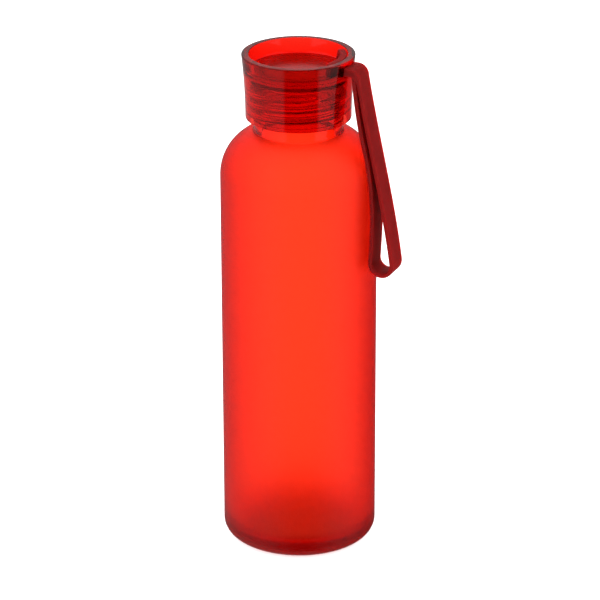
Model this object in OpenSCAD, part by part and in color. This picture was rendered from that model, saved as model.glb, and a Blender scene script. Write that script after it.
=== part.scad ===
// Frosted glass water bottle with a clear screw cap and a silicone carry strap.
// Millimetres, +Z up. The origin is the centre of the base, on the surface it stands on.
// The strap hangs on the +X side.

/* [Bottle] */
// Outer radius of the straight body
body_r = 33; // [32:0.5:34]
// Height at which the straight wall turns into the shoulder
shoulder_z = 165; // [150:1:170]
// Radius of the shoulder's arc
shoulder_arc = 21.1; // [20.5:0.1:22]
// Radius of the rounded edge between wall and base
base_edge = 6; // [4:0.5:8]
// Thickness of the glass wall
glass_t = 2.6; // [2:0.1:3]
// Thickness of the glass at the base
base_t = 4.6; // [4:0.1:6]
// Depth of the hollow under the base
push_up = 1.4; // [0.8:0.1:2]
// Radius of that hollow
push_up_r = 17; // [12:1:20]

/* [Neck] */
// Radius of the smooth collar between shoulder and cap
collar_r = 18.8; // [18.7:0.1:19]
// Height of the collar's top above the shoulder's end
collar_h = 6.2; // [5.8:0.1:6.4]
// Radius of the neck between its threads
neck_r = 18.2; // [18:0.1:18.4]
// Height of the neck from the shoulder's end to its lip
neck_h = 22.5; // [22.4:0.1:22.6]
// Radius of the mouth
mouth_r = 15.6; // [15.4:0.1:15.8]

/* [Thread] */
// Rise of the thread in one turn
pitch = 4.5; // [4.4:0.1:4.6]
// Turns of the ridge on the neck
neck_turns = 2.5; // [1.5:0.25:2.5]
// Turns of the ridge in the cap
cap_turns = 2.75; // [1.5:0.25:2.75]
// How far each ridge stands out
ridge_h = 1.2; // [1:0.1:1.3]
// Half the width of a ridge at its foot
ridge_foot = 1.15; // [1:0.05:1.15]
// Half the width of a ridge at its crest
ridge_crest = 0.6; // [0.4:0.05:0.6]

/* [Cap] */
// Outer radius of the cap at its lower edge
cap_r_low = 22.2; // [22:0.1:22.4]
// Outer radius of the cap at its rim
cap_r_rim = 23.7; // [23.4:0.1:24]
// Height of the cap
cap_h = 27.6; // [27.4:0.1:27.8]
// Radius of the bore inside the skirt
skirt_bore_r = 20.1; // [20:0.05:20.2]
// Depth of the round recess in the top
recess_d = 6.1; // [6:0.1:6.2]
// Radius of the recess at its floor
recess_r_floor = 19.6; // [19.4:0.1:19.8]
// Radius of the recess at the rim
recess_r_rim = 20.6; // [20.4:0.1:20.8]
// Thickness of the floor plate
plate_t = 2.5; // [2.3:0.1:2.6]
// Bevel on the rim's two edges
rim_edge = 0.5; // [0.4:0.1:0.6]

/* [Seal] */
// Thickness of the seal ring
seal_t = 1.8; // [1.7:0.05:1.8]
// Outer radius of the seal ring
seal_r_out = 19.6; // [19:0.1:19.7]
// Inner radius of the seal ring
seal_r_in = 15.7; // [15.6:0.1:16]

/* [Strap] */
// Width of the silicone band
strap_w = 10.4; // [8:0.2:11]
// Thickness of one strand
strand_t = 1.8; // [1.6:0.1:1.8]
// Length of the T-shaped head across the strap
head_w = 22; // [18:0.5:23]
// Depth of the head, from its inner face to the face by the recess wall
head_d = 3; // [2.5:0.1:4]
// Height of the head
head_h = 5.6; // [4:0.1:5.6]
// How far the head sits turned about the bottle's axis, in degrees
head_turn = 9; // [0:1:10]
// Distance of the flexing line from the bottle's axis
flex_r = 27.5; // [27:0.1:28]

/* [Hidden] */
$fn = 96;
EPS = 0.01;                                    // overlap that makes a union complete
CUT = 1;                                       // reach of a cutting shape past what it cuts
BIG = 100;                                     // a length greater than any part

// Bottle heights and centres
arc_c = body_r - shoulder_arc;                 // radius of the shoulder arc's centre
neck_z = shoulder_z + sqrt(pow(shoulder_arc, 2) - pow(collar_r - arc_c, 2));
collar_top = neck_z + collar_h;
lip_z = neck_z + neck_h;
lip_edge = (neck_r - mouth_r) / 2;             // the lip is a half round
crease = 0.8;                                  // fillet between shoulder and collar
crease_z = shoulder_z + sqrt(pow(shoulder_arc + crease, 2) - pow(collar_r + crease - arc_c, 2));
inner_edge = 7;                                // fillet inside the base

// Seal, with a hair's clearance below and above it
seal_gap = 0.08;
seal_z = lip_z + seal_gap;

// Cap, which sits on the seal
plate_z = seal_z + seal_t + seal_gap;          // underside of the floor plate
floor_z = plate_z + plate_t;                   // floor of the recess
total_h = floor_z + recess_d;                  // overall height of the closed bottle
cap_z = total_h - cap_h;
wall_steps = 6;                                // straight stretches that make up the flare
flare = [for (i = [0 : wall_steps]) let (t = i / wall_steps)
    [cap_r_low + (cap_r_rim - cap_r_low) * t * t, cap_z + (cap_h - rim_edge) * t]];
boss_r = 15.3;                                 // short ring that centres the seal
boss_t = 1.5;
boss_h = 2.6;
recess_fillet = 0.8;

// Thread
thread_lead = 2.4;                             // from the collar's top to the neck's ridge
neck_thread_z = collar_top + thread_lead;      // middle of the ridge where it starts
cap_lead = 0.6;                                // lifts the cap's ridge clear of the collar
cap_thread_z = neck_thread_z - pitch / 2 + cap_lead;
cap_thread_turn = cap_lead / pitch * 360;      // keeps the cap's ridge midway between the neck's
cap_ridge_h = ridge_h + 0.3;                   // the cap's ridge has a wider gap to bridge
thread_steps = 48;                             // rings in one turn
taper_steps = 6;                               // rings over which a ridge rises at its ends
end_share = 0.6;                               // share of one such ring at the very end
sunk = 0.6;                                    // how deep a ridge's foot is set into the wall

// Strap, in the plane through the bottle's axis: [distance from axis, height]
head_gap = 0.5;                                // clearance between head and recess wall
head_r = recess_r_floor - head_gap;
wall_slope = (recess_r_rim - recess_r_floor) / (recess_d - rim_edge - recess_fillet);
head_lean = wall_slope * head_h;               // the head leans outwards as the recess wall does
web_t = 2 * strand_t;                          // both strands, one on the other
slot_gap = 0.2;
web_z = floor_z + slot_gap;                    // underside of the web in the slot
flex_z = web_z + strand_t;                     // height of the flexing line
slot_h = web_t + 2 * slot_gap;
knuckle_gap = 0.3;
hang_tilt = 8;                                 // lean of the strap where it leaves the elbow
root_d = strand_t + knuckle_gap;               // from the flexing line to the loop's end face
down = [sin(hang_tilt), -cos(hang_tilt)];
out = [cos(hang_tilt), sin(hang_tilt)];
root = [flex_r, flex_z] + root_d * down;
outer_top = root + strand_t / 2 * out;
inner_top = root - strand_t / 2 * out;
bend_c = from_edge(6.5, -33.5);                // centre of the bend at the loop's lower end
bend_r = 4.85;
bend_start = 8;                                // direction from that centre where the bend starts
bend_end = -182;                               // and where it ends
bend_steps = 26;
waist = from_edge(-1.3, 16.4);                 // a point of the inner strand, by the shoulder
bend = [for (i = [0 : bend_steps]) let (a = bend_start + (bend_end - bend_start) * i / bend_steps)
    bend_c + bend_r * [cos(a), sin(a)]];
outer_strand = bezier(outer_top, from_edge(0.2, 21), from_edge(7.8, -7), bend[0], 16);
inner_lower = bezier(bend[bend_steps], from_edge(2.8, -17), from_edge(3.2, -2), waist, 12);
inner_upper = bezier(waist, from_edge(-3.5, 25.4), from_edge(-5.4, 36.5), inner_top, 8);
web_end = 2;                                   // the strands part at this point of each

// A point given by its distances outwards and up from where wall and shoulder meet
function from_edge(outwards, up) = [body_r + outwards, shoulder_z + up];

// A path without its first n points
function after(p, n) = [for (i = [n : len(p) - 1]) p[i]];

// Points of a cubic curve from a to d, shaped by b and c
function bezier(a, b, c, d, n) = [for (i = [0 : n]) let (t = i / n, u = 1 - t)
    u * u * u * a + 3 * u * u * t * b + 3 * u * t * t * c + t * t * t * d];

// Sideways direction at point i of a path
function side(p, i) = let (q = p[min(i + 1, len(p) - 1)] - p[max(i - 1, 0)])
    [-q[1], q[0]] / norm(q);

// Outline of a band of thickness t along a path
function band(p, t) = concat(
    [for (i = [0 : len(p) - 1]) p[i] + t / 2 * side(p, i)],
    [for (i = [len(p) - 1 : -1 : 0]) p[i] - t / 2 * side(p, i)]);

// Height share of a ridge at ring i of n: it rises and falls at its ends
function rise(i, n) = min(1, (min(i, n - i) + end_share) / taper_steps);

// A helical ridge on a wall of radius r, standing out by h (negative: inwards)
module ridge(r, h, z0, turns, start) {
    n = round(turns * thread_steps);
    foot = r - sign(h) * sunk;
    rings = [for (i = [0 : n]) let (
            a = start + i * 360 / thread_steps,
            z = z0 + pitch * i / thread_steps,
            crest = r + h * rise(i, n),
            up = ridge_foot + (ridge_crest - ridge_foot) * rise(i, n),
            section = [[foot, z - ridge_foot], [crest, z - up], [crest, z + up], [foot, z + ridge_foot]])
        each [for (q = section) [q[0] * cos(a), q[0] * sin(a), q[1]]]];
    walls = [for (i = [0 : n - 1], k = [0 : 3]) let (p = 4 * i + k, q = 4 * i + (k + 1) % 4)
        each [[p, p + 4, q], [q, p + 4, q + 4]]];
    ends = [[0, 1, 2], [0, 2, 3], [4 * n, 4 * n + 2, 4 * n + 1], [4 * n, 4 * n + 3, 4 * n + 2]];
    faces = concat(walls, ends);
    polyhedron(rings, h < 0 ? faces : [for (f = faces) [f[2], f[1], f[0]]]);
}

// Half section of a block: from radius a to b and height c to d
module ring2d(a, b, c, d) { translate([a, c]) square([b - a, d - c]); }

// Half section of everything inside the bottle's outer surface
module bottle_outline() {
    ring2d(0, body_r, base_edge, shoulder_z);
    ring2d(0, body_r - base_edge, 0, base_edge + EPS);
    translate([body_r - base_edge, base_edge]) circle(base_edge);
    intersection() {
        translate([arc_c, shoulder_z]) circle(shoulder_arc);
        ring2d(0, body_r, shoulder_z - EPS, neck_z + crease);
    }
    ring2d(0, arc_c + EPS, shoulder_z - EPS, neck_z);
    ring2d(0, collar_r, shoulder_z, collar_top);
    ring2d(0, neck_r, collar_top - EPS, lip_z - lip_edge);
    translate([neck_r - lip_edge, lip_z - lip_edge]) circle(lip_edge);
    crease_fill();
}

// The small fillet in the corner between shoulder and collar
module crease_fill() {
    centre = [collar_r + crease, crease_z];
    touch = [arc_c, shoulder_z] + shoulder_arc / (shoulder_arc + crease) * (centre - [arc_c, shoulder_z]);
    difference() {
        polygon([[collar_r - crease, crease_z], centre, touch, [collar_r - crease, touch[1] - crease]]);
        translate(centre) circle(crease);
    }
}

// Half section of the space inside the bottle
module bottle_hollow() {
    inner_r = body_r - glass_t;
    ring2d(0, inner_r, base_t + inner_edge, shoulder_z);
    ring2d(0, inner_r - inner_edge, base_t, base_t + inner_edge + EPS);
    translate([inner_r - inner_edge, base_t + inner_edge]) circle(inner_edge);
    intersection() {
        translate([arc_c, shoulder_z]) circle(shoulder_arc - glass_t);
        ring2d(0, inner_r, shoulder_z - EPS, neck_z);
    }
    ring2d(0, mouth_r, shoulder_z - EPS, lip_z + CUT);
}

module glass_bottle() color("orangered") {
    rotate_extrude() difference() {
        bottle_outline();
        bottle_hollow();
        ring2d(-CUT, push_up_r, -CUT, push_up);
    }
    ridge(neck_r, ridge_h, neck_thread_z, neck_turns, 0);
}

module seal_ring() color("whitesmoke")
    translate([0, 0, seal_z]) difference() {
        cylinder(h = seal_t, r = seal_r_out);
        translate([0, 0, -CUT]) cylinder(h = seal_t + 2 * CUT, r = seal_r_in);
    }

// Half section of the cap: a skirt that flares in an arc, a floor plate and a raised rim
module cap_section() {
    difference() {
        polygon(concat([[0, cap_z]], flare, [[cap_r_rim - rim_edge, total_h], [0, total_h]]));
        ring2d(-CUT, skirt_bore_r, cap_z - CUT, plate_z);
        recess_section();
    }
    ring2d(boss_r - boss_t, boss_r, plate_z - boss_h, plate_z + EPS);
}

// Half section of the recess in the top, with a fillet at its floor and a bevel at its rim
module recess_section() {
    low = floor_z + recess_fillet;
    polygon([[-CUT, low], [recess_r_floor, low], [recess_r_rim, total_h - rim_edge],
        [recess_r_rim + rim_edge + CUT, total_h + CUT], [-CUT, total_h + CUT]]);
    ring2d(-CUT, recess_r_floor - recess_fillet, floor_z, low + EPS);
    translate([recess_r_floor - recess_fillet, low]) circle(recess_fillet);
}

module screw_cap() color("firebrick") {
    difference() {
        rotate_extrude() cap_section();
        translate([recess_r_floor - recess_fillet - CUT, -strap_w / 2 - slot_gap, floor_z])
            cube([BIG, strap_w + 2 * slot_gap, slot_h]);
    }
    ridge(skirt_bore_r, -cap_ridge_h, cap_thread_z, cap_turns, cap_thread_turn);
}

// Turns an outline in the strap's plane into a band of the strap's width
module across(w) { translate([0, w / 2, 0]) rotate([90, 0, 0]) linear_extrude(w) children(); }

// The head that bears on the recess wall, the web through the slot and the flexing line's knuckle
module strap_anchor() color("darkred") {
    rotate([0, 0, head_turn]) intersection() {
        rotate_extrude() polygon([[head_r - head_d, web_z], [head_r, web_z],
            [head_r + head_lean, web_z + head_h], [head_r + head_lean - head_d, web_z + head_h]]);
        translate([0, -head_w / 2, floor_z]) cube([BIG, head_w, BIG]);
    }
    across(strap_w) {
        translate([head_r - CUT, web_z]) square([flex_r - head_r + CUT, web_t]);
        translate([flex_r, flex_z]) circle(strand_t);
    }
}

// The strap from its flexing line down, round the bend and back up
module strap_loop() color("darkred") across(strap_w) {
    top = len(inner_upper) - 1;
    polygon(band(concat(outer_strand, after(bend, 1), after(inner_lower, 1)), strand_t));
    polygon(band(concat([inner_lower[len(inner_lower) - 2]], inner_upper), strand_t));
    // both strands are one piece near the elbow
    polygon([outer_strand[0], outer_strand[1], outer_strand[web_end],
        inner_upper[top - web_end], inner_upper[top - 1], inner_upper[top]]);
}

glass_bottle();
seal_ring();
screw_cap();
strap_anchor();
strap_loop();
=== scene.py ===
"""Looks of a frosted glass water bottle with a clear screw cap and a silicone carry strap.

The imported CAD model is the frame. Metres, +Z up, the origin at the centre of the base and the strap on +X.
Shapes below are written in millimetres and scaled once, when a mesh is made.
"""

import math

import bmesh
import bpy
from mathutils import Matrix, Vector


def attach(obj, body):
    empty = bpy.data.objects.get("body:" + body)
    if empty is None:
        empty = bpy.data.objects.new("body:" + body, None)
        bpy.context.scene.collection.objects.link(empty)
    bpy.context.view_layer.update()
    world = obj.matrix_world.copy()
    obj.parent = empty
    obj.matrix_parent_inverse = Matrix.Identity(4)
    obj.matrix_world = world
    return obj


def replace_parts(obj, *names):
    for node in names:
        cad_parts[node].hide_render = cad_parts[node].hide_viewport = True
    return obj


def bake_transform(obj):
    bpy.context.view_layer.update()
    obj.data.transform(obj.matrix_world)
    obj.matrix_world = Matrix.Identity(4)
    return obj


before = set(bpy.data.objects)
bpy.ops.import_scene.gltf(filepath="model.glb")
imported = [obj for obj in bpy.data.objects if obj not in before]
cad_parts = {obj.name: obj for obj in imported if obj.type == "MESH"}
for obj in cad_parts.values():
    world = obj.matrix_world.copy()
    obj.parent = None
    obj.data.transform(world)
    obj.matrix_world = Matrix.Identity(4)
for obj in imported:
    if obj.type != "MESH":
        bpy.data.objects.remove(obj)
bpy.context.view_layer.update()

MM = 0.001

# ---------------------------------------------------------------- dimensions, mm (as the CAD part has them)
BODY_R, SHOULDER_Z, SHOULDER_ARC, BASE_EDGE = 33.0, 165.0, 21.1, 6.0
GLASS_T, BASE_T, INNER_EDGE, PUSH_UP, PUSH_UP_R = 2.6, 4.6, 7.0, 1.4, 17.0
COLLAR_R, COLLAR_H, NECK_R, NECK_H, MOUTH_R, CREASE = 18.8, 6.2, 18.2, 22.5, 15.6, 0.8
ARC_C = BODY_R - SHOULDER_ARC
NECK_Z = SHOULDER_Z + math.sqrt(SHOULDER_ARC ** 2 - (COLLAR_R - ARC_C) ** 2)
COLLAR_TOP, LIP_Z = NECK_Z + COLLAR_H, NECK_Z + NECK_H
LIP_EDGE = (NECK_R - MOUTH_R) / 2

# the ridges are rounder here than in the CAD part
PITCH, RIDGE_H, RIDGE_FOOT, RIDGE_CREST = 4.5, 1.2, 1.35, 0.25
RIDGE_TAPER = math.radians(45)     # the turn over which a ridge rises from and sinks into its wall
CAP_RIDGE_H = RIDGE_H + 0.3
THREAD_RISE = 2.4                  # from the collar's top to the start of the neck's ridge
NECK_THREAD = dict(height=RIDGE_H, z=COLLAR_TOP + THREAD_RISE, turns=2.5, start=0.0)
# the cap's ridge runs midway between the neck's turns, and starts this far up that helix
CAP_LEAD = 0.6
CAP_THREAD = dict(height=-CAP_RIDGE_H, z=NECK_THREAD["z"] - PITCH / 2 + CAP_LEAD, turns=2.75,
                  start=CAP_LEAD / PITCH * 2 * math.pi)

SEAL_GAP, SEAL_T, SEAL_OUT, SEAL_IN = 0.08, 1.8, 19.6, 15.7
SEAL_Z = LIP_Z + SEAL_GAP
PLATE_Z = SEAL_Z + SEAL_T + SEAL_GAP
PLATE_T, RECESS_D, CAP_H = 2.5, 6.1, 27.6
FLOOR_Z = PLATE_Z + PLATE_T
TOP_Z = FLOOR_Z + RECESS_D
CAP_Z = TOP_Z - CAP_H
CAP_R_LOW, CAP_R_RIM, BORE_R, RIM_EDGE = 22.2, 23.7, 20.1, 0.5
RECESS_FLOOR_R, RECESS_RIM_R, RECESS_FILLET = 19.6, 20.6, 0.8
BOSS_R, BOSS_T, BOSS_H = 15.3, 1.5, 2.6

STRAP_W, STRAND_T, STRAP_EDGE = 10.4, 1.8, 0.42
WEB_T, SLOT_GAP = 2 * STRAND_T, 0.2
WEB_Z = FLOOR_Z + SLOT_GAP
FLEX = (27.5, WEB_Z + STRAND_T)
SLOT_HALF = STRAP_W / 2 + SLOT_GAP
SLOT_TOP = FLOOR_Z + WEB_T + 2 * SLOT_GAP
HEAD_GAP, HEAD_D, HEAD_H, HEAD_W = 0.5, 3.0, 5.6, 22.0
HEAD_R = RECESS_FLOOR_R - HEAD_GAP
HEAD_TURN = math.radians(9)
WALL_SLOPE = (RECESS_RIM_R - RECESS_FLOOR_R) / (TOP_Z - FLOOR_Z - RIM_EDGE - RECESS_FILLET)

NODE_GAP = 0.3                     # between the CAD's two strap nodes, at the flexing line
LOOP_TILT = math.radians(8)        # lean of the strap where it starts to hang
PART_GAP = 0.06                    # the strands count as apart from here on
OPENING = 6.0                      # length over which their inner edges become fully round
WEB_STEP, LOOP_STEP = 0.3, 0.85    # spacing of the strap's rows, finer where it bends

# ---------------------------------------------------------------- fineness of the meshes
SEGMENTS = 192
SLOT_COLUMN = 9                    # the column of vertices that lies on each side of the strap's slot
ROWS_PER_TURN = 45                 # rows of a threaded wall in one pitch
SMOOTH = math.radians(40)          # edges sharper than this stay sharp
EDGE_TURNS = [math.radians(22.5 * i) for i in range(5)]     # directions round the strap's edges
ON_AXIS, TINY = 1e-6, 1e-9         # a radius that counts as none; the least length divided by


# ---------------------------------------------------------------- profiles
def arc(centre, radius, start, end, steps):
    """Points (distance from axis, height) on an arc, angles in degrees from the outward direction."""
    angles = [math.radians(start + (end - start) * i / steps) for i in range(steps + 1)]
    return [(centre[0] + radius * math.cos(a), centre[1] + radius * math.sin(a)) for a in angles]


def line(a, b, steps):
    """Points after a, up to and including b."""
    return [(a[0] + (b[0] - a[0]) * i / steps, a[1] + (b[1] - a[1]) * i / steps) for i in range(1, steps + 1)]


def ridge(thread, angle, z):
    """How far the helical ridge stands out at an angle and height."""
    best = 0.0
    turn = 2 * math.pi
    total = thread["turns"] * turn
    along = (angle - thread["start"]) % turn
    while along <= total:
        share = min(1.0, along / RIDGE_TAPER, (total - along) / RIDGE_TAPER)
        off = abs(z - thread["z"] - PITCH * along / turn)
        slope = min(1.0, max(0.0, (RIDGE_FOOT - off) / (RIDGE_FOOT - RIDGE_CREST)))
        best = max(best, share * slope * slope * (3 - 2 * slope))
        along += turn
    return thread["height"] * best


# ---------------------------------------------------------------- mesh makers
def make_object(name, verts, faces, material):
    """A smooth-shaded object in metres from millimetre vertices, without those that no face uses."""
    used = sorted(set(v for f in faces for v in f))
    place_of = {v: i for i, v in enumerate(used)}
    mesh = bpy.data.meshes.new(name)
    mesh.from_pydata([tuple(c * MM for c in verts[v]) for v in used], [],
                     [tuple(place_of[v] for v in f) for f in faces])
    mesh.validate()
    mesh.materials.append(material)
    obj = bpy.data.objects.new(name, mesh)
    bpy.context.scene.collection.objects.link(obj)
    mesh.polygons.foreach_set("use_smooth", [True] * len(mesh.polygons))
    mesh.set_sharp_from_angle(angle=SMOOTH)
    mesh.update()
    return obj


def column_angle(k, r):
    """Angle of column k at radius r: columns near the slot are drawn in, so one lies on its flat side."""
    k = k if k <= SEGMENTS / 2 else k - SEGMENTS
    nominal = 2 * math.pi * k / SEGMENTS
    side = math.asin(SLOT_HALF / max(r, RECESS_FLOOR_R - RECESS_FILLET))
    even = 2 * math.pi * SLOT_COLUMN / SEGMENTS
    a = abs(nominal)
    if a <= even:
        a = a * side / even
    elif a < 2 * even:
        a = side + (a - even) * (2 * even - side) / even
    return math.copysign(a, nominal)


def lathe(rows, thread=None, slotted=False):
    """Vertices and faces of a solid of revolution, and the vertices of each row.

    A row is (r, z). A row of a threaded wall is (r, (z, low, high)): it climbs with the thread from z,
    cut off at low and high, so that one turn further on it meets the row that starts a pitch higher.
    """
    verts, faces, index, climbing = [], [], [], []
    for r, z in rows:
        climbs = isinstance(z, tuple)
        if r < ON_AXIS:
            index.append([len(verts)])
            verts.append((0.0, 0.0, z))
        else:
            ring = []
            for k in range(SEGMENTS):
                a = (column_angle(k, r) if slotted else 2 * math.pi * k / SEGMENTS) % (2 * math.pi)
                rr, zz = r, z
                if climbs:
                    zz = min(z[2], max(z[1], z[0] + PITCH * a / (2 * math.pi)))
                    rr = r + ridge(thread, a, zz)
                ring.append(len(verts))
                verts.append((rr * math.cos(a), rr * math.sin(a), zz))
            # rows cut off at the same height share their vertices
            if climbs and climbing and climbing[-1]:
                ring = [v if verts[v][2] != verts[u][2] else u for v, u in zip(ring, index[-1])]
            index.append(ring)
        climbing.append(climbs)
    group = [i for i, c in enumerate(climbing) if c]
    rising = bool(group) and rows[group[-1]][1][0] > rows[group[0]][1][0]
    turn = ROWS_PER_TURN if rising else -ROWS_PER_TURN

    def next_turn(i):
        """The row that row i runs into after a full turn."""
        return index[min(group[-1], max(group[0], i + turn))] if climbing[i] else index[i]

    for i in range(len(index) - 1):
        a, b = index[i], index[i + 1]
        for k in range(SEGMENTS):
            last = k == SEGMENTS - 1
            if len(a) == 1:
                face = (a[0], b[(k + 1) % SEGMENTS], b[k])
            elif len(b) == 1:
                face = (a[k], a[(k + 1) % SEGMENTS], b[0])
            elif last:
                both = climbing[i] and climbing[i + 1]
                c, d = (next_turn(i), next_turn(i + 1)) if both else (a, b)
                face = (a[k], c[0], d[0], b[k])
            else:
                face = (a[k], a[k + 1], b[k + 1], b[k])
            face = tuple(dict.fromkeys(face))
            if len(face) > 2:
                faces.append(face)
    return verts, faces, index


def threaded_wall(r, z0, z1):
    """Rows that climb with the thread on a wall from z0 to z1."""
    low, high, step = min(z0, z1), max(z0, z1), PITCH / ROWS_PER_TURN
    n = math.ceil((high - low) / step) + ROWS_PER_TURN
    rows = [(r, (low - PITCH + step * i, low, high)) for i in range(n + 1)]
    return rows if z1 > z0 else rows[::-1]


# ---------------------------------------------------------------- bottle
def bottle_rows():
    """Rows up the outside, up the threaded neck, and over the lip down the inside."""
    crease_z = SHOULDER_Z + math.sqrt((SHOULDER_ARC + CREASE) ** 2 - (COLLAR_R + CREASE - ARC_C) ** 2)
    lean = math.degrees(math.atan2(crease_z - SHOULDER_Z, COLLAR_R + CREASE - ARC_C))
    foot = 0.7                                              # edge of the hollow under the base
    outside = [(0.0, PUSH_UP)] + line((0.0, PUSH_UP), (PUSH_UP_R - foot, PUSH_UP), 6)
    outside += arc((PUSH_UP_R - foot, PUSH_UP - foot), foot, 90, 0, 5)[1:]
    outside += arc((PUSH_UP_R + foot, foot), foot, 180, 270, 5)
    outside += line((PUSH_UP_R + foot, 0.0), (BODY_R - BASE_EDGE, 0.0), 4)
    outside += arc((BODY_R - BASE_EDGE, BASE_EDGE), BASE_EDGE, -90, 0, 20)[1:]
    outside += line((BODY_R, BASE_EDGE), (BODY_R, SHOULDER_Z), 24)
    outside += arc((ARC_C, SHOULDER_Z), SHOULDER_ARC, 0, lean, 32)[1:]
    outside += arc((COLLAR_R + CREASE, crease_z), CREASE, 180 + lean, 180, 6)[1:]
    edge = 0.35                                             # edge of the collar's top
    outside += line(outside[-1], (COLLAR_R, COLLAR_TOP - edge), 5)
    outside += arc((COLLAR_R - edge, COLLAR_TOP - edge), edge, 0, 90, 4)[1:]
    inner_r = BODY_R - GLASS_T
    arc_in = SHOULDER_ARC - GLASS_T
    round_in = 1.5                                          # inside, between neck and shoulder
    round_z = SHOULDER_Z + math.sqrt((arc_in + round_in) ** 2 - (MOUTH_R + round_in - ARC_C) ** 2)
    lean_in = math.degrees(math.atan2(round_z - SHOULDER_Z, MOUTH_R + round_in - ARC_C))
    mouth_z = LIP_Z - LIP_EDGE
    plain = 0.1                                             # of the neck, between thread and lip
    neck = threaded_wall(NECK_R, COLLAR_TOP, mouth_z - plain)
    inside = arc((MOUTH_R + LIP_EDGE, mouth_z), LIP_EDGE, 0, 180, 16)
    inside += line((MOUTH_R, mouth_z), (MOUTH_R, round_z), 8)
    inside += arc((MOUTH_R + round_in, round_z), round_in, 180, 180 + lean_in, 6)[1:]
    inside += arc((ARC_C, SHOULDER_Z), arc_in, lean_in, 0, 28)[1:]
    inside += line((inner_r, SHOULDER_Z), (inner_r, BASE_T + INNER_EDGE), 24)
    inside += arc((inner_r - INNER_EDGE, BASE_T + INNER_EDGE), INNER_EDGE, 0, -90, 16)[1:]
    inside += line((inner_r - INNER_EDGE, BASE_T), (0.0, BASE_T), 8)
    return outside, neck, inside


# ---------------------------------------------------------------- cap
def cap_outer_r(z):
    """The cap flares more and more towards its rim."""
    share = (z - CAP_Z) / (TOP_Z - RIM_EDGE - CAP_Z)
    return CAP_R_LOW + (CAP_R_RIM - CAP_R_LOW) * share * share


def recess_r(z):
    """The recess wall leans out from its fillet to the rim."""
    z_low, z_high = FLOOR_Z + RECESS_FILLET, TOP_Z - RIM_EDGE
    return RECESS_FLOOR_R + (RECESS_RIM_R - RECESS_FLOOR_R) * (z - z_low) / (z_high - z_low)


def spread(a, b, steps):
    """Heights after a, up to and including b."""
    return [a + (b - a) * i / steps for i in range(1, steps + 1)]


def cap_rows():
    """The cap's rows, its slot's heights, and where the slot's outer and inner rows start."""
    low_edge = 0.5                                          # edge at the cap's foot
    plain_top, plain_foot = 0.3, 0.02                       # heights of the bore without a thread
    fillet = arc((RECESS_FLOOR_R - RECESS_FILLET, FLOOR_Z + RECESS_FILLET), RECESS_FILLET, -90, 0, 5)
    slot_zs = [z for r, z in fillet] + spread(fillet[-1][1], SLOT_TOP, 6)
    boss_in, boss_low, z_end = BOSS_R - BOSS_T, PLATE_Z - BOSS_H, TOP_Z - RIM_EDGE
    # from the axis at the underside, outwards and down the bore
    rows = [(0.0, PLATE_Z)] + line((0.0, PLATE_Z), (boss_in, PLATE_Z), 6)
    rows += line((boss_in, PLATE_Z), (boss_in, boss_low), 4)
    rows += line((boss_in, boss_low), (BOSS_R, boss_low), 3)
    rows += line((BOSS_R, boss_low), (BOSS_R, PLATE_Z), 4)
    rows += line((BOSS_R, PLATE_Z), (BORE_R, PLATE_Z), 3)
    rows += threaded_wall(BORE_R, PLATE_Z - plain_top, CAP_Z + plain_foot)
    # up the outside
    rows += [(BORE_R, CAP_Z), (CAP_R_LOW - low_edge, CAP_Z)]
    rows += arc((CAP_R_LOW - low_edge, CAP_Z + low_edge), low_edge, -90, 0, 5)[1:]
    rows += [(cap_outer_r(z), z) for z in spread(CAP_Z + low_edge, FLOOR_Z, 20)[:-1]]
    slot_out = len(rows)
    rows += [(cap_outer_r(z), z) for z in slot_zs + spread(SLOT_TOP, z_end, 4)]
    # over the rim and down the recess
    rows += arc((CAP_R_RIM - RIM_EDGE, z_end), RIM_EDGE, 0, 90, 6)[1:]
    rows += line((CAP_R_RIM - RIM_EDGE, TOP_Z), (RECESS_RIM_R + RIM_EDGE, TOP_Z), 3)
    rows += arc((RECESS_RIM_R + RIM_EDGE, z_end), RIM_EDGE, 90, 180, 6)[1:]
    rows += [(recess_r(z), z) for z in spread(z_end, SLOT_TOP, 4)[:-1]]
    slot_in = len(rows)
    rows += [(recess_r(z), z) for z in slot_zs[len(fillet):]][::-1] + fillet[::-1]
    rows += line(fillet[0], (0.0, FLOOR_Z), 12)
    return rows, slot_zs, slot_out, slot_in


def cap_mesh():
    """The cap, with the slot cut by dropping the faces between its side columns and joining both walls."""
    rows, slot_zs, slot_out, slot_in = cap_rows()
    verts, faces, index = lathe(rows, CAP_THREAD, slotted=True)
    m = len(slot_zs) - 1
    outer = index[slot_out:slot_out + m + 1]                # rising
    inner = index[slot_in:slot_in + m + 1][::-1]            # rising
    columns = [k % SEGMENTS for k in range(-SLOT_COLUMN, SLOT_COLUMN + 1)]
    gone = set()
    for wall in (outer, inner):
        cut = {ring[k] for ring in wall for k in columns}
        gone |= {f for f in faces if all(v in cut for v in f)}
    faces = [f for f in faces if f not in gone]
    for c, d in zip(columns, columns[1:]):
        faces.append((outer[0][c], outer[0][d], inner[0][d], inner[0][c]))
        faces.append((outer[m][d], outer[m][c], inner[m][c], inner[m][d]))
    first, last = columns[0], columns[-1]
    for i in range(m):
        faces.append((outer[i + 1][first], outer[i][first], inner[i][first], inner[i + 1][first]))
        faces.append((outer[i][last], outer[i + 1][last], inner[i + 1][last], inner[i][last]))
    return verts, faces


# ---------------------------------------------------------------- seal
def seal_rows():
    """The seal's section, with rounded corners."""
    e = 0.3                                                 # radius of the corners
    lo, hi = SEAL_Z, SEAL_Z + SEAL_T
    corners = [((SEAL_OUT - e, lo + e), -90), ((SEAL_OUT - e, hi - e), 0),
               ((SEAL_IN + e, hi - e), 90), ((SEAL_IN + e, lo + e), 180)]
    points = []
    for centre, start in corners:
        points += arc(centre, e, start, start + 90, 4)
    return points


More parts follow.
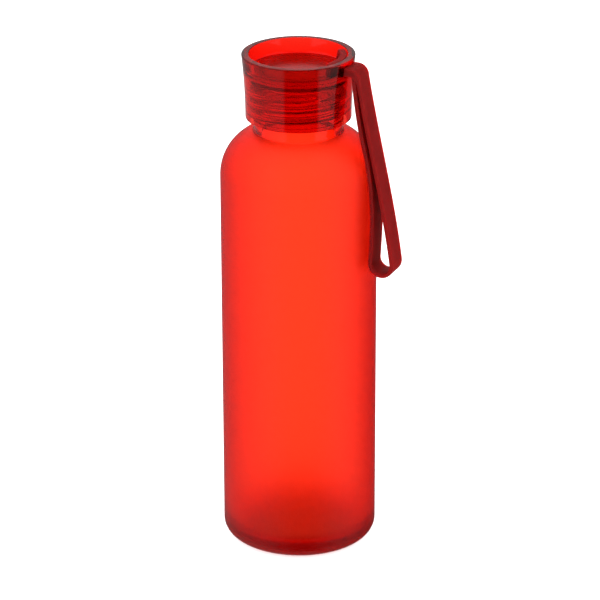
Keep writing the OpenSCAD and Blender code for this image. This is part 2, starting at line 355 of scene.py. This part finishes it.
def ring_mesh(rows):
    """A closed ring: the last row joins the first."""
    verts, faces, index = lathe(rows)
    a, b = index[-1], index[0]
    faces += [(a[k], a[(k + 1) % SEGMENTS], b[(k + 1) % SEGMENTS], b[k]) for k in range(SEGMENTS)]
    return verts, faces


# ---------------------------------------------------------------- strap
def bezier(a, b, c, d, n):
    """Points on a cubic curve from a to d, with handles b and c."""
    points = []
    for i in range(n + 1):
        t = i / n
        u = 1 - t
        points.append(a * u ** 3 + b * 3 * u * u * t + c * 3 * u * t * t + d * t ** 3)
    return points


def from_edge(outwards, up):
    """A point of the strap's plane, from where the bottle's wall meets its shoulder."""
    return Vector((BODY_R + outwards, SHOULDER_Z + up))


def resample(points, step):
    """The same path with points about a step apart."""
    lengths = [0.0]
    for p, q in zip(points, points[1:]):
        lengths.append(lengths[-1] + (q - p).length)
    n = max(2, round(lengths[-1] / step))
    out, j = [], 0
    for i in range(n + 1):
        s = lengths[-1] * i / n
        while j < len(points) - 2 and lengths[j + 1] < s:
            j += 1
        t = (s - lengths[j]) / max(TINY, lengths[j + 1] - lengths[j])
        out.append(points[j].lerp(points[j + 1], t))
    return out


def normals(points):
    """Unit vectors to the left of a path."""
    out = []
    for i in range(len(points)):
        d = points[min(i + 1, len(points) - 1)] - points[max(i - 1, 0)]
        out.append(Vector((-d.y, d.x)).normalized())
    return out


def at_height(points, norms, z):
    """The point of a falling path at height z, and the normal there."""
    for i in range(len(points) - 1):
        if points[i].y >= z >= points[i + 1].y:
            t = (points[i].y - z) / max(TINY, points[i].y - points[i + 1].y)
            return points[i].lerp(points[i + 1], t), norms[i].lerp(norms[i + 1], t).normalized()
    return points[0].copy(), norms[0].copy()


def loop_sides():
    """Centre lines of the loop's strands, both from the elbow down, and of the bend that joins them.

    The curves' handles and the waist, a point of the inner strand by the shoulder, are given here.
    """
    down = Vector((math.sin(LOOP_TILT), -math.cos(LOOP_TILT)))
    out = Vector((math.cos(LOOP_TILT), math.sin(LOOP_TILT)))
    root = Vector(FLEX) + (STRAND_T + NODE_GAP) * down
    bend_c, bend_r = from_edge(6.5, -33.5), 4.85            # of the bend at the loop's lower end
    bend_sweep, bend_steps = math.radians(190), 40
    bend = []
    for i in range(bend_steps + 1):
        a = LOOP_TILT - bend_sweep * i / bend_steps
        bend.append(bend_c + bend_r * Vector((math.cos(a), math.sin(a))))
    waist = from_edge(-1.3, 16.4)
    outer = bezier(root + STRAND_T / 2 * out, from_edge(0.2, 21), from_edge(7.8, -7), bend[0], 120)
    inner = bezier(bend[-1], from_edge(2.8, -17), from_edge(3.2, -2), waist, 80)
    inner += bezier(waist, from_edge(-3.5, 25.4), from_edge(-5.4, 36.5), root - STRAND_T / 2 * out, 60)[1:]
    return outer, inner[::-1], bend


def web_line():
    """Centre line of the merged part, from inside the head through the slot and round the elbow."""
    start_x, straight_points = 17.4, 25
    elbow_x, elbow_r, elbow_steps = 24.95, 3.0, 20
    elbow_c = Vector((elbow_x, FLEX[1] - elbow_r))
    points = [Vector((start_x + WEB_STEP * i, FLEX[1])) for i in range(straight_points)]
    quarter = math.radians(90)
    for i in range(elbow_steps + 1):
        a = quarter - (quarter - LOOP_TILT) * i / elbow_steps
        points.append(elbow_c + elbow_r * Vector((math.cos(a), math.sin(a))))
    return points


def strap_outline():
    """The strap's side view: the merged part's outer side, middle and inner side, then the open loop."""
    outer, inner, bend = loop_sides()
    half = STRAND_T / 2
    n_out, n_in = normals(outer), normals(inner)
    centre = web_line()
    web_out, web_mid, web_in = [], [], []
    for p, n in zip(centre, normals(centre)):
        web_out.append((p + n * WEB_T / 2, n))
        web_mid.append(p.copy())
        web_in.append((p - n * WEB_T / 2, n))
    z, parted = centre[-1].y, False
    while not parted:
        z -= WEB_STEP
        (p, n), (q, m) = at_height(outer, n_out, z), at_height(inner, n_in, z)
        web_out.append((p + n * half, n))
        web_in.append((q - m * half, m))
        web_mid.append(((p - n * half) + (q + m * half)) / 2)
        parted = (p - n * half).x - (q + m * half).x > PART_GAP or z < SHOULDER_Z
    path = [p for p in outer if p.y < z] + bend[1:] + [p for p in inner[::-1] if p.y < z][1:]
    path = [at_height(outer, n_out, z)[0]] + path + [at_height(inner, n_in, z)[0]]
    path = resample(path, LOOP_STEP)
    return web_out, web_mid, web_in, list(zip(path, normals(path)))


def eased(share):
    """A smooth step from 0 to 1."""
    return share * share * (3 - 2 * share)


def strap_mesh():
    """One closed mesh: the side view, carried across the width in layers that round the long edges."""
    web_out, web_mid, web_in, loop = strap_outline()
    half, e, w = STRAND_T / 2, STRAP_EDGE, STRAP_W / 2
    quarter = [(w - e * (1 - math.cos(t)), e * (1 - math.sin(t))) for t in EDGE_TURNS]
    layers = [(-y, d) for y, d in quarter] + [(y, d) for y, d in quarter[::-1]]
    verts, faces = [], []

    def add(p, y):
        """A vertex: a point of the side view, carried to y across the width."""
        verts.append((p.x, y, p.y))
        return len(verts) - 1

    k_last, j_last, top = len(web_mid) - 1, len(loop) - 1, len(layers) - 1
    # a layer's rows: the web's two sides, the loop's two sides, and the point where its strands part
    grids = []
    for y, d in layers:
        wo = [add(p - n * d, y) for p, n in web_out]
        wi = [add(p + n * d, y) for p, n in web_in]
        tip = add(web_mid[-1], y)
        lo, li = [wo[-1]], [tip]
        for j in range(1, j_last):
            p, n = loop[j]
            away = min(1.0, min(j, j_last - j) * LOOP_STEP / OPENING)
            lo.append(add(p + n * (half - d), y))
            li.append(add(p - n * (half - d * eased(away)), y))
        lo.append(wi[-1])
        li.append(tip)
        grids.append((wo, wi, lo, li, tip))
    # the two flat faces of the strap, which also have the web's middle row
    for layer in (0, top):
        wo, wi, lo, li, tip = grids[layer]
        mid = [add(p, layers[layer][0]) for p in web_mid[:-1]] + [tip]
        for k in range(k_last):
            faces.append((wo[k], wo[k + 1], mid[k + 1], mid[k]))
            faces.append((mid[k], mid[k + 1], wi[k + 1], wi[k]))
        for j in range(j_last):
            faces.append(tuple(dict.fromkeys((lo[j], lo[j + 1], li[j + 1], li[j]))))
        grids[layer] = (wo, wi, lo, li, mid)
    # the sides, from layer to layer, and then the face that closes the web inside the head
    for a, b in zip(grids, grids[1:]):
        for c in range(4):
            for i in range(len(a[c]) - 1):
                faces.append((a[c][i], a[c][i + 1], b[c][i + 1], b[c][i]))
    start = [g[0][0] for g in grids] + [grids[top][4][0]] + [g[1][0] for g in grids[::-1]] + [grids[0][4][0]]
    faces.append(tuple(start))
    return verts, faces


def head_mesh():
    """The T-shaped head: a rounded bar that follows the recess wall."""
    e, e_least = 0.6, 0.05                                  # radius of the edges, and at the very ends
    low, high = WEB_Z, WEB_Z + HEAD_H
    r_mid, z_mid = HEAD_R - HEAD_D / 2, (low + high) / 2
    reach = math.asin(HEAD_W / 2 / HEAD_R)
    rings = []
    # stations along the bar: an angle, and how much smaller the section is there
    ends = [(-reach + e / r_mid * (1 - math.cos(t)), e * (1 - math.sin(t))) for t in EDGE_TURNS[:-1]]
    straight, n = reach - e / r_mid, 28
    middle = [(-straight + 2 * straight * i / n, 0.0) for i in range(n + 1)]
    for a, d in ends + middle + [(-a, d) for a, d in ends[::-1]]:
        hw, hh, er = HEAD_D / 2 - d, (high - low) / 2 - d, max(e_least, e - d)
        ring = []
        for cx, cz, start in ((hw - er, -hh + er, -90), (hw - er, hh - er, 0),
                              (-hw + er, hh - er, 90), (-hw + er, -hh + er, 180)):
            for q in arc((cx, cz), er, start, start + 90, 4):
                z = z_mid + q[1]
                r = r_mid + q[0] + (z - low) * WALL_SLOPE
                ring.append((r * math.cos(a + HEAD_TURN), r * math.sin(a + HEAD_TURN), z))
        rings.append(ring)
    verts = [v for ring in rings for v in ring]
    size = len(rings[0])
    faces = []
    for i in range(len(rings) - 1):
        for k in range(size):
            j = (k + 1) % size
            faces.append((i * size + k, i * size + j, (i + 1) * size + j, (i + 1) * size + k))
    faces.append(tuple(range(size)))
    faces.append(tuple((len(rings) - 1) * size + k for k in range(size)))
    return verts, faces


def outward(obj):
    """Makes every face of a closed mesh look outwards."""
    bm = bmesh.new()
    bm.from_mesh(obj.data)
    bmesh.ops.recalc_face_normals(bm, faces=bm.faces)
    bm.to_mesh(obj.data)
    bm.free()
    return obj


def united(obj, other):
    """obj with the closed mesh other joined to it; other is removed."""
    mod = obj.modifiers.new("join", "BOOLEAN")
    mod.operation = "UNION"
    mod.solver = "EXACT"
    mod.object = other
    bpy.context.view_layer.update()
    mesh = bpy.data.meshes.new_from_object(obj.evaluated_get(bpy.context.evaluated_depsgraph_get()))
    obj.modifiers.clear()
    obj.data = mesh
    bpy.data.objects.remove(other)
    return obj


# ---------------------------------------------------------------- materials
class Nodes:
    """A material's or world's node tree, with a short way to add a node and set its inputs."""

    def __init__(self, owner):
        """Takes over the owner's tree, emptied."""
        owner.use_nodes = True
        self.tree = owner.node_tree
        self.tree.nodes.clear()

    def add(self, kind, inputs=None, **settings):
        """A new node; an input may be a value or another node's output."""
        node = self.tree.nodes.new(kind)
        for key, value in settings.items():
            setattr(node, key, value)
        for key, value in (inputs or {}).items():
            if isinstance(value, bpy.types.NodeSocket):
                self.tree.links.new(value, node.inputs[key])
            else:
                node.inputs[key].default_value = value
        return node

    def math(self, operation, a, b=0.0):
        """The result of one sum."""
        return self.add("ShaderNodeMath", {0: a, 1: b}, operation=operation).outputs[0]

    def attribute(self, name):
        """The value of a mesh attribute."""
        return self.add("ShaderNodeAttribute", attribute_name=name).outputs["Fac"]

    def noise(self, coords, scale, detail):
        """Noise from about 0 to 1, of so many cells a metre."""
        inputs = {"Vector": coords, "Scale": scale, "Detail": detail}
        return self.add("ShaderNodeTexNoise", inputs).outputs["Fac"]

    def between(self, value, low, high):
        """low where the value is 0, high where it is 1."""
        inputs = {"Value": value, "To Min": low, "To Max": high}
        return self.add("ShaderNodeMapRange", inputs).outputs["Result"]

    def bump(self, height, strength, distance):
        """A normal tilted by a height."""
        inputs = {"Height": height, "Strength": strength, "Distance": distance}
        return self.add("ShaderNodeBump", inputs).outputs["Normal"]

    def ramp(self, value, stops):
        """A colour for each value; a stop is a place from 0 to 1 and a colour or a grey level."""
        node = self.add("ShaderNodeValToRGB", {"Fac": value})
        ramp = node.color_ramp.elements
        while len(ramp) < len(stops):
            ramp.new(0.5)
        for element, (place, level) in zip(ramp, stops):
            element.position = place
            element.color = (*level, 1) if isinstance(level, tuple) else (level, level, level, 1)
        return node.outputs["Color"]


UNDERSIDE_SHADE = (0.25, 0.2, 0.2)       # painted shade: the underside's base colour, darkened for the shade under the bottle, where the shade attribute is 1
GRAIN_SCALE = 900.0                # grain of satin glass, a metre
GRAIN_ROUGH, GRAIN_BUMP, GRAIN_DEPTH = 0.2, 0.15, 0.0001
CLOUD_SCALE, PORE_SCALE = 140.0, 2600.0                     # of the silicone, a metre
PORE_BUMP, PORE_DEPTH = 0.25, 0.00006
SILICONE = {"IOR": 1.41, "Specular IOR Level": 0.22, "Subsurface Weight": 0.8,
            "Subsurface Radius": (1.0, 0.12, 0.1), "Subsurface Scale": 0.009}


def glass_material(name, tint, density, base, ior, rough):
    """Tinted glass or clear plastic, whose attribute satin goes from the first roughness to the second."""
    mat = bpy.data.materials.new(name)
    n = Nodes(mat)
    coords = n.add("ShaderNodeTexCoord").outputs["Object"]
    satin = n.attribute("satin")
    grain = n.noise(coords, GRAIN_SCALE, 3.0)
    level = n.between(satin, *rough)
    uneven = n.math("MULTIPLY", n.math("SUBTRACT", grain, 0.5), n.math("MULTIPLY", satin, GRAIN_ROUGH))
    etched = n.bump(grain, n.math("MULTIPLY", satin, GRAIN_BUMP), GRAIN_DEPTH)
    # painted shade: where the shade attribute is 1, the base colour darkens for the shade under the bottle
    colour = n.ramp(n.attribute("deep"), [(0.0, base), (1.0, UNDERSIDE_SHADE)])
    bsdf = n.add("ShaderNodeBsdfPrincipled", {
        "Base Color": colour, "IOR": ior, "Transmission Weight": 1.0,
        "Roughness": n.math("ADD", level, uneven), "Normal": etched})
    volume = n.add("ShaderNodeVolumeAbsorption", {"Color": (*tint, 1), "Density": density})
    n.add("ShaderNodeOutputMaterial", {"Surface": bsdf.outputs[0], "Volume": volume.outputs[0]})
    return mat


def silicone_material(name, dark, light, rough, transmission=0.0):
    """Soft matt silicone, a little cloudy between two colours and two roughnesses."""
    mat = bpy.data.materials.new(name)
    n = Nodes(mat)
    coords = n.add("ShaderNodeTexCoord").outputs["Object"]
    cloud = n.noise(coords, CLOUD_SCALE, 3.0)
    pores = n.noise(coords, PORE_SCALE, 2.0)
    colour = n.ramp(cloud, [(0.3, dark), (0.7, light)])
    level = n.between(cloud, *rough)
    bumped = n.bump(pores, PORE_BUMP, PORE_DEPTH)
    bsdf = n.add("ShaderNodeBsdfPrincipled", {
        "Base Color": colour, "Roughness": level, "Normal": bumped,
        "Transmission Weight": transmission, **SILICONE})
    n.add("ShaderNodeOutputMaterial", {"Surface": bsdf.outputs[0]})
    return mat


frosted_glass = glass_material("frosted_glass", tint=(0.977, 0.39, 0.17), density=1000.0,
                               base=(0.985, 0.93, 0.92), ior=1.5, rough=(0.08, 0.5))
clear_plastic = glass_material("clear_plastic", tint=(0.989, 0.2, 0.05), density=1500.0,
                               base=(0.56, 0.5, 0.5), ior=1.49, rough=(0.01, 0.2))
strap_silicone = silicone_material("strap_silicone", dark=(0.11, 0.0012, 0.0012),
                                   light=(0.135, 0.002, 0.002), rough=(0.5, 0.62))
seal_silicone = silicone_material("seal_silicone", dark=(0.8, 0.3, 0.3),
                                  light=(0.9, 0.35, 0.35), rough=(0.3, 0.4), transmission=0.85)

# ---------------------------------------------------------------- pieces
NEAR = 0.1                         # mm, how near a vertex has to be to count as on a surface
SATIN_CAP = 0.8                    # satin of the cap's rim, recess floor and slot sides


def paint(obj, name, level_at):
    """A vertex attribute whose value is given by level_at from x, y and z in mm."""
    attribute = obj.data.attributes.new(name, "FLOAT", "POINT")
    for v in obj.data.vertices:
        attribute.data[v.index].value = level_at(v.co.x / MM, v.co.y / MM, v.co.z / MM)


def bottle_satin(x, y, z):
    """The outside of the bottle is frosted up to the collar; the inside is clear."""
    r = math.hypot(x, y)
    frost_top = NECK_Z + 0.3
    in_body = z > BASE_T - 1 and r < BODY_R - GLASS_T / 2 and z < SHOULDER_Z
    in_shoulder = z >= SHOULDER_Z and math.hypot(r - ARC_C, z - SHOULDER_Z) < SHOULDER_ARC - GLASS_T / 2
    in_mouth = r < MOUTH_R + NEAR
    return 0.0 if z > frost_top or in_body or in_shoulder or in_mouth else 1.0


def bottle_deep(x, y, z):
    """Painted shade: the underside is darker, for the shade under the bottle."""
    return 1.0 if z < PUSH_UP + NEAR and math.hypot(x, y) < BODY_R - BASE_EDGE + NEAR else 0.0


def cap_satin(x, y, z):
    """The recess floor, the rim and the slot's sides are satin."""
    on_floor = abs(z - FLOOR_Z) < NEAR and math.hypot(x, y) < RECESS_FLOOR_R
    on_rim = z > TOP_Z - 2 * NEAR
    by_slot = x > 0 and abs(abs(y) - SLOT_HALF) < NEAR / 2 and FLOOR_Z - NEAR < z < SLOT_TOP + NEAR
    return SATIN_CAP if on_floor or by_slot or on_rim else 0.0


bottle_outside, bottle_neck, bottle_inside = bottle_rows()
bottle_verts, bottle_faces, _ = lathe(bottle_outside + bottle_neck + bottle_inside, NECK_THREAD)
bottle = outward(make_object("bottle_glass", bottle_verts, bottle_faces, frosted_glass))
paint(bottle, "satin", bottle_satin)
# painted shade on the bottle's underside
paint(bottle, "deep", bottle_deep)
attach(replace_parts(bottle, "glass_bottle"), "bottle")

cap = outward(make_object("cap_clear", *cap_mesh(), clear_plastic))
paint(cap, "satin", cap_satin)
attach(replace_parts(cap, "screw_cap"), "cap")

seal = outward(make_object("seal", *ring_mesh(seal_rows()), seal_silicone))
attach(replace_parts(seal, "seal_ring"), "seal")

strap = outward(make_object("strap", *strap_mesh(), strap_silicone))
head = outward(make_object("strap_head", *head_mesh(), strap_silicone))
strap = united(strap, head)
strap.data.polygons.foreach_set("use_smooth", [True] * len(strap.data.polygons))
strap.data.set_sharp_from_angle(angle=SMOOTH)
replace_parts(strap, "strap_anchor", "strap_loop")
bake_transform(strap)

# ---------------------------------------------------------------- studio
# where the photo was taken from; the panels are set about that direction and stay there in other views
PHOTO_TURN, PHOTO_RISE = math.radians(24), math.radians(22.45)
front = Vector((math.sin(PHOTO_TURN), -math.cos(PHOTO_TURN), 0))
front_right = Vector((math.cos(PHOTO_TURN), math.sin(PHOTO_TURN), 0))

LIGHT = 2.2                        # level of the white surroundings
# what reflections see on the outside, and what they see inside glass: degrees from the front, and levels
PANELS = [(-160, 0.45), (-145, 0.3), (-34, 0.3), (-28, 0.0), (40, 0.0),
          (46, 0.34), (95, 0.34), (105, 0.1), (150, 0.1), (165, 0.45)]
INNER_PANELS = [(-110, LIGHT), (-90, 0.5), (-34, 0.4), (-28, 0.12),
                (40, 0.12), (46, 0.45), (90, 0.5), (110, LIGHT)]


def around(panels):
    """The stops of a ramp that goes once round, from panels given in degrees."""
    return [(degrees / 360 + 0.5, level) for degrees, level in panels]


def studio_world():
    """White surroundings, which reflections see as dimmer panels."""
    world = bpy.data.worlds.new("studio")
    bpy.context.scene.world = world
    n = Nodes(world)
    direction = n.add("ShaderNodeTexCoord").outputs["Generated"]
    along = n.add("ShaderNodeVectorMath", {0: direction, 1: front}, operation="DOT_PRODUCT")
    across = n.add("ShaderNodeVectorMath", {0: direction, 1: front_right}, operation="DOT_PRODUCT")
    turn = n.math("ARCTAN2", across.outputs["Value"], along.outputs["Value"])
    share = n.math("ADD", n.math("DIVIDE", turn, 2 * math.pi), 0.5)
    panels = n.ramp(share, around(PANELS))
    inner_panels = n.ramp(share, around(INNER_PANELS))
    path = n.add("ShaderNodeLightPath").outputs
    is_reflected = n.math("MINIMUM", path["Glossy Depth"], 1.0)
    is_in_glass = n.math("MINIMUM", path["Transmission Depth"], 1.0)
    # a Mix node's colours are its inputs 6 and 7 and its output 2
    mirror = n.add("ShaderNodeMix", {"Factor": is_in_glass, 6: panels, 7: inner_panels}, data_type="RGBA")
    seen = n.add("ShaderNodeMix", {"Factor": is_reflected, 6: (LIGHT, LIGHT, LIGHT, 1.0),
                                   7: mirror.outputs[2]}, data_type="RGBA")
    world.cycles.sampling_method = "NONE"
    background = n.add("ShaderNodeBackground", {"Color": seen.outputs[2], "Strength": 1.0})
    n.add("ShaderNodeOutputWorld", {"Surface": background.outputs[0]})


FLOOR_SIDE, UNDER = 6.0, -0.0002   # metres: half the floor's width, and its height just under the bottle
FLOOR_GREY, FLOOR_GLOW = 0.65, 0.6


def pale_floor():
    """A white floor that also gives off some light, so that the contact shadow stays faint."""
    mesh = bpy.data.meshes.new("floor")
    corners = [(-1, -1), (1, -1), (1, 1), (-1, 1)]
    mesh.from_pydata([(x * FLOOR_SIDE, y * FLOOR_SIDE, UNDER) for x, y in corners], [], [(0, 1, 2, 3)])
    obj = bpy.data.objects.new("floor", mesh)
    bpy.context.scene.collection.objects.link(obj)
    mat = bpy.data.materials.new("pale_floor")
    n = Nodes(mat)
    matt = n.add("ShaderNodeBsdfDiffuse", {"Color": (FLOOR_GREY, FLOOR_GREY, FLOOR_GREY, 1)}).outputs[0]
    glow = n.add("ShaderNodeEmission", {"Strength": FLOOR_GLOW}).outputs[0]
    both = n.add("ShaderNodeAddShader", {0: matt, 1: glow}).outputs[0]
    n.add("ShaderNodeOutputMaterial", {"Surface": both})
    mesh.materials.append(mat)
    mat.cycles.emission_sampling = "NONE"
    obj.visible_glossy = False
    return obj


studio_world()
floor = pale_floor()

# ---------------------------------------------------------------- camera
SENSOR, LENS = 36.0, 186.16        # mm
DISTANCE, AIM_Z = 1.3237, 0.1075   # metres: from the point aimed at on the axis, and that point's height
ROLL = math.radians(-0.153)
SHIFT_X = 1 / 600                  # one pixel of the photo's width

camera = bpy.data.objects.new("camera", bpy.data.cameras.new("camera"))
bpy.context.scene.collection.objects.link(camera)
camera.data.sensor_width = SENSOR
camera.data.lens = LENS
camera.data.shift_x = SHIFT_X
camera.data.clip_end = 50
back = front * math.cos(PHOTO_RISE) + Vector((0, 0, math.sin(PHOTO_RISE)))
camera.location = Vector((0, 0, AIM_Z)) + back * DISTANCE
camera.rotation_mode = "QUATERNION"
roll = Matrix.Rotation(ROLL, 4, "Z").to_quaternion()
camera.rotation_quaternion = (-back).to_track_quat("-Z", "Y") @ roll
bpy.context.scene.camera = camera

scene = bpy.context.scene
scene.view_settings.view_transform = "Standard"
scene.cycles.max_bounces = 64
scene.cycles.transmission_bounces = 48
scene.cycles.glossy_bounces = 48
